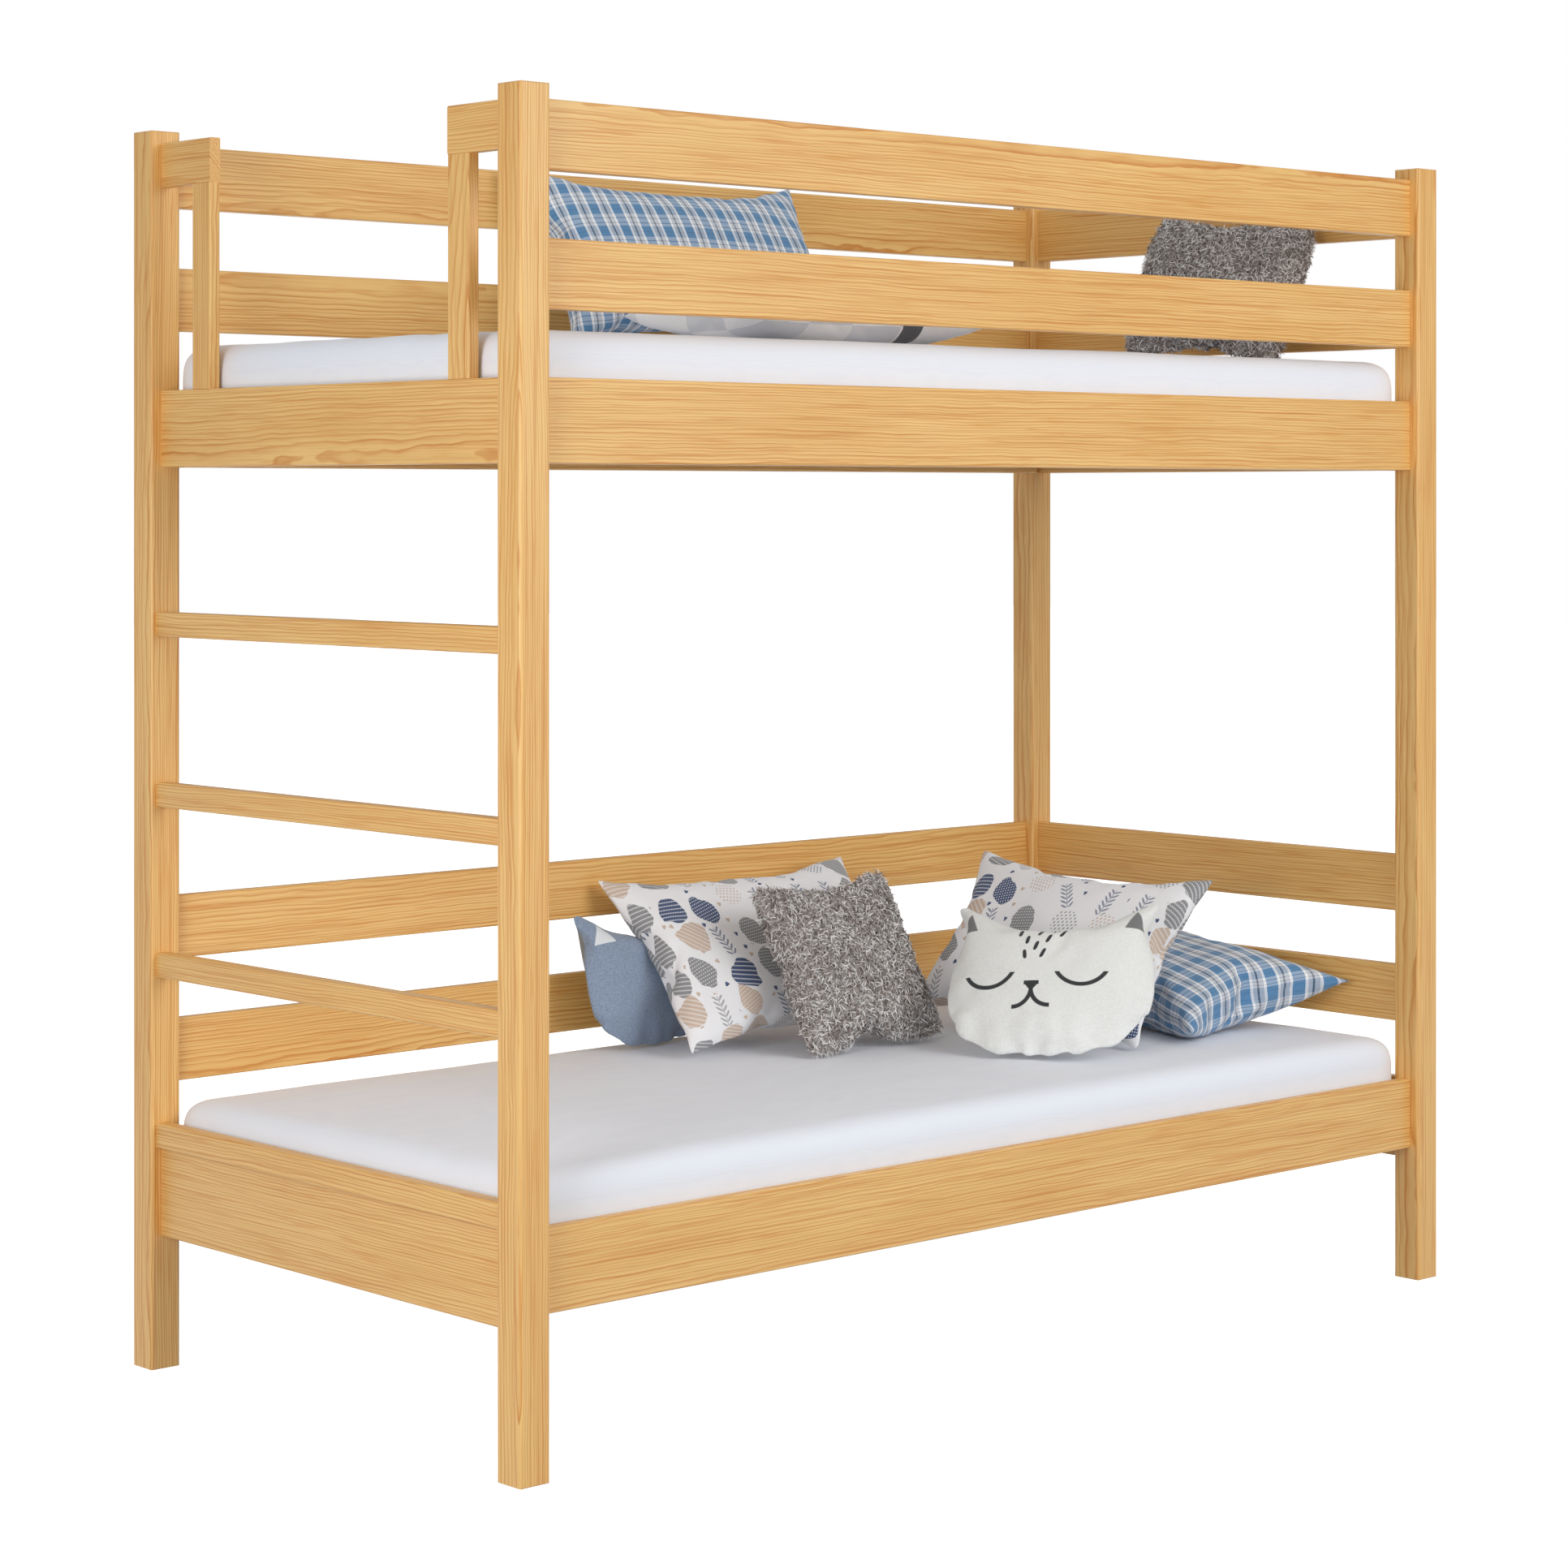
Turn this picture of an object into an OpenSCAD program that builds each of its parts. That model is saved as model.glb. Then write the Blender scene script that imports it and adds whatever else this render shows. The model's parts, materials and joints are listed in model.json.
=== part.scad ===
// Bunk bed in solid pine with a built-in ladder at one end.
// +X runs from the ladder end to the foot end, the open side faces -Y, +Z is up.
// The origin is on the floor, in the middle of the four feet.

/* [Overall] */
// Outer length of the bed
bed_l = 2120; // [1800:10:2240]
// Outer width of the bed
bed_w = 1020; // [900:10:1240]
// Height of the posts
bed_h = 2013; // [1900:1:2200]

/* [Posts and boards] */
// Side of the square posts
post = 56; // [50:1:70]
// Rounding of the posts' upright edges
post_round = 6; // [2:1:8]
// Bevel round the posts' top and bottom ends
post_bevel = 2; // [1:0.5:4]
// How far every board stands back from the posts' outer faces
setback = 19; // [10:1:22]
// Thickness of the bed rails
rail_t = 22; // [20:1:24]
// Height of the bed rails and upper end boards
rail_h = 125; // [110:1:140]
// Thickness of guard, rest and gate boards
guard_t = 20; // [18:1:22]
// Height of guard and rest boards
guard_h = 103; // [90:1:110]
// Rounding of the boards' long edges
board_round = 3; // [1:0.5:4]

/* [Levels] */
// Underside of the upper bunk's rails
upper_z = 1466; // [1400:1:1480]
// Underside of the lower bunk's long rails
lower_z = 238; // [220:1:260]
// Underside of the lower end boards
lower_end_z = 216; // [200:1:230]
// Height of the lower end boards
lower_end_h = 145; // [130:1:150]
// Clear gap between one guard board and the next
guard_gap = 98; // [80:1:100]

/* [Ladder] */
// Number of rungs
rungs = 4; // [3:1:5]
// Height of a rung
rung_h = 40; // [35:1:45]
// Depth of a rung, front to back
rung_d = 25; // [22:1:30]
// Setback of the rungs from the posts' outer faces
rung_setback = 9; // [5:1:12]
// Clear width of the gate at the top of the ladder
gate_w = 626; // [500:1:640]
// Width of the gate's uprights
upright_w = 51; // [40:1:60]
// Height of the short boards that cap the gate's uprights
gate_board_h = 72; // [60:1:80]

/* [Mattress support] */
// Side of the square ledgers
ledger = 30; // [25:1:35]
// Number of slats in each bunk
slats = 13; // [10:1:15]
// Width of a slat
slat_w = 70; // [50:1:80]
// Thickness of a slat
slat_t = 18; // [15:1:20]

/* [Bedding] */
// Height of the mattress top above the rails' top edge
mattress_crown = 75; // [50:1:90]
// Rounding of the mattress edges
mattress_round = 48; // [45:1:52]
// Gap between the mattress and the rails
mattress_gap = 3; // [1:1:6]

/* [Fasteners] */
// Diameter of the wooden dowels
dowel_d = 8; // [6:1:10]
// Length of dowel held in a post
dowel_in_post = 20; // [15:1:20]
// Length of dowel held in a board
dowel_in_board = 28; // [20:1:35]
// Diameter of the hanger bolts
bolt_d = 8; // [6:1:8]
// Length of hanger bolt held in a post
bolt_in_post = 32; // [25:1:36]
// Length of hanger bolt held in a rail
bolt_in_rail = 54; // [50:1:56]

/* [Hidden] */

$fn = 32;
pine = "burlywood";

// small fixed sizes that the places below need
rung_last_drop = 275;                     // from the upper bunk's level down to the top rung
rest_lift = 1;                            // the lower bunk's boards sit this much higher
rail_dowel_share = 0.62;                  // a rail's dowels are this share of its height apart
guard_dowel_gap = 60;                     // from dowel to dowel in the other boards' ends
gate_dowel_gap = 40;
rung_dowel_gap = 18;

// places worked out from the driving dimensions
bay_l = bed_l - 2 * post;                 // between the posts, lengthwise
bay_w = bed_w - 2 * post;                 // between the posts, across
guard_pitch = guard_h + guard_gap;
guard_z = [upper_z + rail_h + guard_gap, upper_z + rail_h + guard_gap + guard_pitch];
rest_z = [lower_z + rail_h + guard_gap + rest_lift, lower_z + rail_h + guard_gap + rest_lift + guard_pitch];
gate_board_z = guard_z[1] + guard_h - gate_board_h;
gate_stub_l = (bay_w - gate_w) / 2;
rung_first_z = lower_end_z + lower_end_h;
rung_last_z = upper_z - rung_last_drop;
rung_pitch = (rung_last_z - rung_first_z) / (rungs - 1);

// a level is [underside, height, thickness, setback of the outer face, dowel spacing, bolted or not]
function rail_level(z, h) = [z, h, rail_t, setback, h * rail_dowel_share, true];
function guard_level(z) = [z, guard_h, guard_t, setback, guard_dowel_gap, false];
function gate_level() = [gate_board_z, gate_board_h, guard_t, setback, gate_dowel_gap, false];
function rung_level(i) = [rung_first_z + i * rung_pitch, rung_h, rung_d, rung_setback, rung_dowel_gap, false];

guard_levels = [for (z = guard_z) guard_level(z)];
rest_levels = [for (z = rest_z) guard_level(z)];
front_levels = concat([rail_level(lower_z, rail_h), rail_level(upper_z, rail_h)], guard_levels);
back_levels = concat(front_levels, rest_levels);
end_rails = [rail_level(lower_end_z, lower_end_h), rail_level(upper_z, rail_h)];
foot_levels = concat(end_rails, guard_levels, rest_levels);
rung_levels = [for (i = [0 : rungs - 1]) rung_level(i)];
ladder_levels = concat(end_rails, [gate_level()], rung_levels);

// the middle of a level's thickness, measured from the bed's outer face, and of its height
function depth_mid(lv) = lv[3] + lv[2] / 2;
function height_mid(lv) = lv[0] + lv[1] / 2;

bore_slack = 0.1;                         // radial room round a dowel
bolt_slack = 0.5;                         // radial room round a bolt in its rail
bolt_rise = 12;                           // long rails' bolts sit above the middle, end boards' below
pocket_r = 13;                            // half-moon pocket in a rail's inner face
pocket_in = 46;                           // from a rail's end to the middle of its pocket
pocket_depth = rail_t - 3;
nut_t = 6.5;
nut_corner_r = 7.5;
washer_depth = 15;                        // size of a half-moon washer across the rail
washer_flat = 2;                          // its flat side, ahead of the pocket's middle
screw_r = 2;
screw_head_r = 4;
screw_head_t = 2;
screw_l = 45;
ledger_screws_each = 7;
edge_r = 8;                               // thin edge of a cushion

// ---- basic shapes

// a bar along X, centred, with its four long edges rounded
module bar(l, w, h, r) {
  rotate([90, 0, 90])
    linear_extrude(height = l, center = true)
      union() {
        square([w - 2 * r, h], center = true);
        square([w, h - 2 * r], center = true);
        for (x = [-1, 1], y = [-1, 1])
          translate([x * (w / 2 - r), y * (h / 2 - r)]) circle(r = r);
      }
}

// a rod along X between two places
module rod(from, to, r) {
  translate([from, 0, 0]) rotate([0, 90, 0]) cylinder(r = r, h = to - from);
}

// ---- the four sides of the bed
// Everything on a side is drawn as on the front, along X with its outer face to -Y, and turned into place.

FRONT = 0;
BACK = 1;
LADDER = 2;
FOOT = 3;

module on_side(s) {
  rotate([0, 0, [0, 180, -90, 90][s]]) children();
}

function bay(s) = s < 2 ? bay_l : bay_w;
function outer(s) = s < 2 ? bed_w / 2 : bed_l / 2;
function bolt_z(s, lv) = height_mid(lv) + (s < 2 ? bolt_rise : -bolt_rise);

// to the middle of a level's thickness on its side
module at_level(s, lv) {
  on_side(s) translate([0, depth_mid(lv) - outer(s), 0]) children();
}

// ends is a list of -1 and 1: which ends of the level
module dowels(s, levels, ends = [-1, 1], grow = 0, extra = 0) {
  for (lv = levels, e = ends, up = [-1, 1])
    at_level(s, lv)
      translate([0, 0, height_mid(lv) + up * lv[4] / 2])
        mirror([e < 0 ? 1 : 0, 0, 0])
          rod(bay(s) / 2 - dowel_in_board - extra, bay(s) / 2 + dowel_in_post + extra, dowel_d / 2 + grow);
}

module bolts(s, levels, ends = [-1, 1], grow = 0, extra = 0) {
  for (lv = levels, e = ends)
    if (lv[5])
      at_level(s, lv)
        translate([0, 0, bolt_z(s, lv)])
          mirror([e < 0 ? 1 : 0, 0, 0])
            rod(bay(s) / 2 - bolt_in_rail - extra, bay(s) / 2 + bolt_in_post + extra, bolt_d / 2 + grow);
}

// to the middle of the half-moon pocket in each end of a bolted level
module at_pockets(s, levels) {
  for (lv = levels, e = [-1, 1])
    if (lv[5])
      at_level(s, lv)
        translate([0, 0, bolt_z(s, lv)])
          mirror([e < 0 ? 1 : 0, 0, 0])
            translate([bay(s) / 2 - pocket_in, 0, 0]) children();
}

// a drum along Y, from a depth below the rail's inner face
module drum(r, h) {
  translate([0, rail_t / 2 - pocket_depth + h, 0]) rotate([90, 0, 0]) cylinder(r = r, h = h);
}

module pockets(s, levels) {
  at_pockets(s, levels) drum(pocket_r, pocket_depth + 1);
}

// ---- wooden pieces

// one board of a side, with the bores in its ends
module board(s, lv) {
  color(pine)
    difference() {
      at_level(s, lv) translate([0, 0, height_mid(lv)]) bar(bay(s), lv[2], lv[1], board_round);
      dowels(s, [lv], grow = bore_slack, extra = 1);
      bolts(s, [lv], grow = bolt_slack, extra = 1);
      pockets(s, [lv]);
      if (s < 2 && lv[5]) ledger_screw_set(s, lv, bore_slack);
    }
}

// a cut at 45 degrees along one edge of a post's end
module bevel_cuts() {
  for (a = [0 : 90 : 270])
    rotate([0, 0, a])
      translate([0, post / 2, 0]) rotate([45, 0, 0])
        cube([post * 2, post_bevel * sqrt(2), post_bevel * sqrt(2)], center = true);
}

// a corner post, x and y are -1 or 1; end_along and end_across tell which end of its two sides it is
module corner_post(x, y, along, end_along, levels_along, across, end_across, levels_across) {
  color(pine)
    difference() {
      translate([x * (bed_l - post) / 2, y * (bed_w - post) / 2, bed_h / 2])
        difference() {
          rotate([0, 90, 0]) bar(bed_h, post, post, post_round);
          for (z = [-1, 1]) translate([0, 0, z * bed_h / 2]) bevel_cuts();
        }
      dowels(along, levels_along, [end_along], bore_slack, 1);
      bolts(along, levels_along, [end_along], 0, 0);
      dowels(across, levels_across, [end_across], bore_slack, 1);
      bolts(across, levels_across, [end_across], 0, 0);
    }
}

module post_front_ladder() { corner_post(-1, -1, FRONT, -1, front_levels, LADDER, 1, ladder_levels); }
module post_back_ladder() { corner_post(-1, 1, BACK, 1, back_levels, LADDER, -1, ladder_levels); }
module post_front_foot() { corner_post(1, -1, FRONT, 1, front_levels, FOOT, -1, foot_levels); }
module post_back_foot() { corner_post(1, 1, BACK, -1, back_levels, FOOT, 1, foot_levels); }

module upper_front_rail() { board(FRONT, front_levels[1]); }
module upper_back_rail() { board(BACK, front_levels[1]); }
module lower_front_rail() { board(FRONT, front_levels[0]); }
module lower_back_rail() { board(BACK, front_levels[0]); }
module lower_ladder_board() { board(LADDER, end_rails[0]); }
module upper_foot_board() { board(FOOT, end_rails[1]); }
module lower_foot_board() { board(FOOT, end_rails[0]); }
module upper_ladder_board() {
  difference() {
    board(LADDER, end_rails[1]);
    upright_dowels(bore_slack, 1);
  }
}

module guard_front_low() { board(FRONT, guard_levels[0]); }
module guard_front_high() { board(FRONT, guard_levels[1]); }
module guard_back_low() { board(BACK, guard_levels[0]); }
module guard_back_high() { board(BACK, guard_levels[1]); }
module guard_foot_low() { board(FOOT, guard_levels[0]); }
module guard_foot_high() { board(FOOT, guard_levels[1]); }
module rest_back_low() { board(BACK, rest_levels[0]); }
module rest_back_high() { board(BACK, rest_levels[1]); }
module rest_foot_low() { board(FOOT, rest_levels[0]); }
module rest_foot_high() { board(FOOT, rest_levels[1]); }

// ---- the gate at the top of the ladder; side is 1 front or -1 back, as seen along the ladder end

module gate_board(side) {
  lv = gate_level();
  color(pine)
    difference() {
      at_level(LADDER, lv)
        translate([side * (gate_w + gate_stub_l) / 2, 0, height_mid(lv)])
          bar(gate_stub_l, lv[2], lv[1], board_round);
      dowels(LADDER, [lv], [side], bore_slack, 1);
      upright_dowels(bore_slack, 1);
    }
}

module gate_upright(side) {
  lv = gate_level();
  foot_z = upper_z + rail_h;
  color(pine)
    difference() {
      at_level(LADDER, lv)
        translate([side * (gate_w + upright_w) / 2, 0, (foot_z + gate_board_z) / 2])
          rotate([0, 90, 0]) bar(gate_board_z - foot_z, guard_t, upright_w, board_round);
      upright_dowels(bore_slack, 1);
    }
}

// the upright dowels that pin the gate's uprights top and bottom
module upright_dowels(grow = 0, extra = 0) {
  pin_l = 2 * dowel_in_board + 2 * extra;
  for (side = [-1, 1], z = [upper_z + rail_h, gate_board_z])
    at_level(LADDER, gate_level())
      translate([side * (gate_w + upright_w) / 2, 0, z])
        cylinder(r = dowel_d / 2 + grow, h = pin_l, center = true);
}

module gate_board_front() { gate_board(1); }
module gate_board_back() { gate_board(-1); }
module gate_upright_front() { gate_upright(1); }
module gate_upright_back() { gate_upright(-1); }

module rung(i) { board(LADDER, rung_levels[i]); }

// ---- what carries the mattresses

function ledger_y() = outer(FRONT) - setback - rail_t - ledger / 2;
function slat_z(z) = z + ledger;

module ledger_screw_set(s, lv, grow = 0) {
  pitch = bay_l / ledger_screws_each;
  face = setback + rail_t + ledger;
  for (i = [0 : ledger_screws_each - 1])
    on_side(s)
      translate([(i - (ledger_screws_each - 1) / 2) * pitch, face - outer(s), lv[0] + ledger / 2])
        rotate([90, 0, 0]) {
          cylinder(r = screw_r + grow, h = screw_l + grow);
          cylinder(r1 = screw_head_r + grow, r2 = screw_r + grow, h = screw_head_t + grow);
        }
}

module ledger_bar(s, lv) {
  color(pine)
    difference() {
      on_side(s)
        translate([0, -ledger_y(), lv[0] + ledger / 2]) bar(bay_l - 4, ledger, ledger, board_round);
      ledger_screw_set(s, lv, bore_slack);
    }
}

module upper_front_ledger() { ledger_bar(FRONT, front_levels[1]); }
module upper_back_ledger() { ledger_bar(BACK, front_levels[1]); }
module lower_front_ledger() { ledger_bar(FRONT, front_levels[0]); }
module lower_back_ledger() { ledger_bar(BACK, front_levels[0]); }

slat_l = bed_w - 2 * (setback + rail_t) - 4;
slat_run = bay_l - slat_w - 20;            // from the first slat's middle to the last one's
tape_w = 25;
tape_t = 1.5;
tape_inset = 66;                          // from a slat's end to the middle of the tape

module slat_row(z) {
  color("wheat")
    for (i = [0 : slats - 1])
      translate([(i / (slats - 1) - 0.5) * slat_run, 0, slat_z(z) + slat_t / 2])
        rotate([0, 0, 90]) bar(slat_l, slat_w, slat_t, board_round);
}

module slat_tape_pair(z) {
  color("whitesmoke")
    for (y = [-1, 1])
      translate([0, y * (slat_l / 2 - tape_inset), slat_z(z) - tape_t / 2])
        cube([slat_run + slat_w - 10, tape_w, tape_t], center = true);
}

module upper_slats() { slat_row(upper_z); }
module lower_slats() { slat_row(lower_z); }
module upper_slat_tapes() { slat_tape_pair(upper_z); }
module lower_slat_tapes() { slat_tape_pair(lower_z); }

// ---- fasteners

module board_dowels() {
  color("tan") {
    dowels(FRONT, front_levels);
    dowels(BACK, back_levels);
    dowels(LADDER, concat(end_rails, [gate_level()]));
    dowels(FOOT, foot_levels);
    upright_dowels();
  }
}

module rung_dowels() {
  color("tan") dowels(LADDER, rung_levels);
}

module hanger_bolts() {
  color("silver") {
    bolts(FRONT, front_levels);
    bolts(BACK, front_levels);
    bolts(LADDER, end_rails);
    bolts(FOOT, end_rails);
  }
}

module at_all_pockets() {
  at_pockets(FRONT, front_levels) children();
  at_pockets(BACK, front_levels) children();
  at_pockets(LADDER, end_rails) children();
  at_pockets(FOOT, end_rails) children();
}

// a half-moon bears on the pocket's round wall, its flat side towards the nut
module half_moon_washers() {
  color("silver")
    at_all_pockets()
      difference() {
        drum(pocket_r - bore_slack, washer_depth);
        translate([-pocket_r + washer_flat, 0, 0]) cube(2 * pocket_r, center = true);
        rod(-pocket_r, pocket_r, bolt_d / 2);
      }
}

module bolt_nuts() {
  color("silver")
    at_all_pockets()
      difference() {
        translate([washer_flat - nut_t, 0, 0]) rotate([0, 90, 0]) cylinder(r = nut_corner_r, h = nut_t, $fn = 6);
        rod(-pocket_r, pocket_r, bolt_d / 2);
      }
}

module ledger_screws() {
  color("silver")
    for (s = [FRONT, BACK], lv = [front_levels[0], front_levels[1]])
      ledger_screw_set(s, lv);
}

// ---- bedding: plain solids, right in size and place

module mattress(z) {
  base = slat_z(z) + slat_t + 0.5;
  top = z + rail_h + mattress_crown;
  half_l = bed_l / 2 - setback - rail_t - mattress_gap - mattress_round;
  half_w = bed_w / 2 - setback - rail_t - mattress_gap - mattress_round;
  color("ghostwhite")
    hull()
      for (x = [-1, 1], y = [-1, 1], h = [base + mattress_round, top - mattress_round])
        translate([x * half_l, y * half_w, h]) sphere(r = mattress_round, $fn = 28);
}

module upper_mattress() { mattress(upper_z); }
module lower_mattress() { mattress(lower_z); }

upper_top = upper_z + rail_h + mattress_crown;
lower_top = lower_z + rail_h + mattress_crown;

// leans a cushion that lies in the XY plane: turned about Z, tipped back from upright, rolled in its plane
module leaning(pos, turn, tip, roll) {
  translate(pos) rotate([0, 0, turn]) rotate([90 - tip, 0, 0]) rotate([0, 0, roll]) children();
}

// a cushion w by h with a belly t thick and thin edges
module cushion(w, h, t) {
  hull() {
    for (x = [-1, 1], y = [-1, 1])
      translate([x * (w / 2 - edge_r), y * (h / 2 - edge_r), 0]) sphere(r = edge_r, $fn = 12);
    resize([0.8 * w, 0.8 * h, t]) sphere(r = t / 2, $fn = 20);
  }
}

// a rounded cushion with two pointed ears
module ear_cushion(w, h, t) {
  body_h = 0.78 * h;
  translate([0, (body_h - h) / 2, 0]) resize([w, body_h, t]) sphere(r = t / 2, $fn = 24);
  for (x = [-1, 1])
    hull() {
      translate([x * (w / 2 - 2 * edge_r), h / 2 - edge_r, 0]) sphere(r = edge_r, $fn = 12);
      translate([x * 0.36 * w, 0.05 * h, 0]) sphere(r = 0.2 * t, $fn = 12);
      translate([x * 0.26 * w, 0.16 * h, 0]) sphere(r = 0.2 * t, $fn = 12);
    }
}

module plaid_pillow_upper() {
  color("steelblue") leaning([-7, 344, upper_top + 172], 0, 30, 0) cushion(676, 372, 120);
}

module check_pillow_upper() {
  color("whitesmoke") leaning([-90, -90, upper_top + 56], -4, 90, 0) cushion(560, 360, 110);
}

module fur_cushion_upper() {
  color("gray") leaning([908, -118, upper_top + 142], -79, 22, -4) cushion(350, 280, 86);
}

module ear_cushion_blue() {
  color("steelblue") leaning([-57, 396, lower_top + 127], 8, 14, 4) ear_cushion(330, 258, 84);
}

module print_pillow_left() {
  color("white") leaning([161, 308, lower_top + 155], -2, 43, 1) cushion(592, 388, 100);
}

module fur_cushion_lower() {
  color("rosybrown") leaning([193, 134, lower_top + 148], 1, 28, 2) cushion(330, 312, 84);
}

module print_pillow_right() {
  color("white") leaning([597, 0, lower_top + 156], -81, 39, -3) cushion(528, 366, 100);
}

module face_cushion_linen() {
  color("ivory") leaning([398, -172, lower_top + 130], -60, 40, 4) ear_cushion(370, 312, 96);
}

module plaid_pillow_lower() {
  color("steelblue") leaning([819, -97, lower_top + 78], -56, 79, 53) cushion(378, 430, 140);
}

post_front_ladder();
post_back_ladder();
post_front_foot();
post_back_foot();
upper_front_rail();
upper_back_rail();
upper_ladder_board();
upper_foot_board();
lower_front_rail();
lower_back_rail();
lower_ladder_board();
lower_foot_board();
guard_front_low();
guard_front_high();
guard_back_low();
guard_back_high();
guard_foot_low();
guard_foot_high();
rest_back_low();
rest_back_high();
rest_foot_low();
rest_foot_high();
gate_board_front();
gate_board_back();
gate_upright_front();
gate_upright_back();
rung(0);  // rung_1
rung(1);  // rung_2
rung(2);  // rung_3
rung(3);  // rung_4
upper_front_ledger();
upper_back_ledger();
lower_front_ledger();
lower_back_ledger();
upper_slats();
lower_slats();
upper_slat_tapes();
lower_slat_tapes();
board_dowels();
rung_dowels();
hanger_bolts();
half_moon_washers();
bolt_nuts();
ledger_screws();
upper_mattress();
lower_mattress();
plaid_pillow_upper();
check_pillow_upper();
fur_cushion_upper();
ear_cushion_blue();
print_pillow_left();
fur_cushion_lower();
print_pillow_right();
face_cushion_linen();
plaid_pillow_lower();
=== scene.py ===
import json
import math
import random
import bpy
import bmesh
from mathutils import Matrix, Vector, noise
from mathutils.bvhtree import BVHTree


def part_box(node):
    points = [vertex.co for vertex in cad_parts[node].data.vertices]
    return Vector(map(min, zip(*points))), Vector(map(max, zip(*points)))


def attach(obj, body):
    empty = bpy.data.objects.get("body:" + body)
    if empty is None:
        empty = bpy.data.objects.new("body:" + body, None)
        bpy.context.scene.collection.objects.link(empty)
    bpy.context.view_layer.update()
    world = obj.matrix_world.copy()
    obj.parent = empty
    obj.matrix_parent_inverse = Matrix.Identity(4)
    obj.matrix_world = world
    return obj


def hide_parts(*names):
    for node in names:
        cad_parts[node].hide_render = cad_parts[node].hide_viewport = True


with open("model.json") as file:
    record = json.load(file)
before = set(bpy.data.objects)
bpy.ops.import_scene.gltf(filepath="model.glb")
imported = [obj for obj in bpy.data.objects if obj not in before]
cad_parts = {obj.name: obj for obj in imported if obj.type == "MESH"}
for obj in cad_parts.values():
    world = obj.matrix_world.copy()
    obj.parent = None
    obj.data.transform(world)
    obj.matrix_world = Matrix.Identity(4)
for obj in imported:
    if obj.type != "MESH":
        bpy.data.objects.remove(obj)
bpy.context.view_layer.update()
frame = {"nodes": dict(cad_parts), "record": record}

nodes = frame["nodes"]

camera = {
    "place": (-4.291, -4.606, 1.417),
    "turn": -0.7401,
    "lens": 83.71,
    "sensor": 36,
    "shiftY": -0.1827,
    "reach": 100,
}
studio = {
    "floorSize": 60,
    "floorTone": (0.94, 0.94, 0.94, 1),
    "floorGlow": 0.80,
    "skyLight": 0.54,
    "groundLight": 0.20,
    # name: place, size, power; every lamp looks at the middle of the bed
    "lamps": {
        "ladder": ((-3.7, -1.3, 1.3), 1.6, 45),
        "front": ((0.6, -4.2, 2.5), 3.0, 86),
    },
    "aim": (0, 0, 0.9),
}


def makeCamera(look):
    lens = bpy.data.cameras.new("camera")
    lens.lens = look["lens"]
    lens.sensor_width = look["sensor"]
    lens.shift_y = look["shiftY"]
    lens.clip_end = look["reach"]
    holder = bpy.data.objects.new("camera", lens)
    holder.location = look["place"]
    holder.rotation_euler = (math.pi / 2, 0, look["turn"])
    bpy.context.scene.collection.objects.link(holder)
    bpy.context.scene.camera = holder


def makeLamp(name, place, size, power, aim):
    data = bpy.data.lights.new(name, "AREA")
    data.shape = "DISK"
    data.size = size
    data.energy = power
    lamp = bpy.data.objects.new(name, data)
    lamp.location = place
    lamp.rotation_euler = (Vector(place) - Vector(aim)).to_track_quat("Z", "Y").to_euler()
    bpy.context.scene.collection.objects.link(lamp)


makeCamera(camera)
for lampName, (place, size, power) in studio["lamps"].items():
    makeLamp(lampName, place, size, power, studio["aim"])
bpy.context.scene.view_settings.view_transform = "Standard"
sky = bpy.data.worlds.new("studio")
sky.use_nodes = True
bpy.context.scene.world = sky
print("camera and lamps made")


def plug(tree, socket, value):
    if isinstance(value, Wire):
        tree.links.new(value.socket, socket)
    else:
        socket.default_value = value


def layNode(tree, kind, settings=None, sockets=None, out=0):  # settings first, then sockets
    made = tree.nodes.new("ShaderNode" + kind)
    for key, value in (settings or {}).items():
        if key == "stops":
            ramp = made.color_ramp
            while len(ramp.elements) < len(value):
                ramp.elements.new(0.5)
            for element, (position, colour) in zip(ramp.elements, value):
                element.position = position
                element.color = colour
        elif key == "blending":
            made.color_ramp.interpolation = value
        else:
            setattr(made, key, value)
    for key, value in (sockets or {}).items():
        plug(tree, made.inputs[key], value)
    return Wire(tree, made.outputs[out])


class Wire:  # a shader socket that can stand in a Python sum
    def __init__(self, tree, socket):
        self.tree = tree
        self.socket = socket

    def work(self, operation, *values, clamp=False):
        settings = {"operation": operation, "use_clamp": clamp}
        return layNode(self.tree, "Math", settings, dict(enumerate(values)))

    def beside(self, out):  # another output of the same node
        return Wire(self.tree, self.socket.node.outputs[out])

    def __add__(self, other):
        return self.work("ADD", self, other)

    def __radd__(self, other):
        return self.work("ADD", other, self)

    def __sub__(self, other):
        return self.work("SUBTRACT", self, other)

    def __rsub__(self, other):
        return self.work("SUBTRACT", other, self)

    def __mul__(self, other):
        return self.work("MULTIPLY", self, other)

    def __rmul__(self, other):
        return self.work("MULTIPLY", other, self)

    def __truediv__(self, other):
        return self.work("DIVIDE", self, other)

    def __abs__(self):
        return self.work("ABSOLUTE", self)

    def root(self):
        return self.work("SQRT", self)

    def sine(self):
        return self.work("SINE", self)

    def cosine(self):
        return self.work("COSINE", self)

    def part(self):
        return self.work("FRACT", self)

    def whole(self):
        return self.work("FLOOR", self)

    def below(self, limit):
        return self.work("LESS_THAN", self, limit)

    def above(self, limit):
        return self.work("GREATER_THAN", self, limit)

    def most(self, other):
        return self.work("MAXIMUM", self, other)

    def held(self):  # kept between 0 and 1
        return self.work("ADD", self, 0.0, clamp=True)

    def under(self, limit, soft):  # 1 where below the limit, with a soft edge
        return ((limit - self) / soft + 0.5).held()


def dye(red, green, blue):  # a colour as a paint chart gives it, 0 to 255
    return tuple((part / 255) ** 2.2 for part in (red, green, blue)) + (1,)


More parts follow.
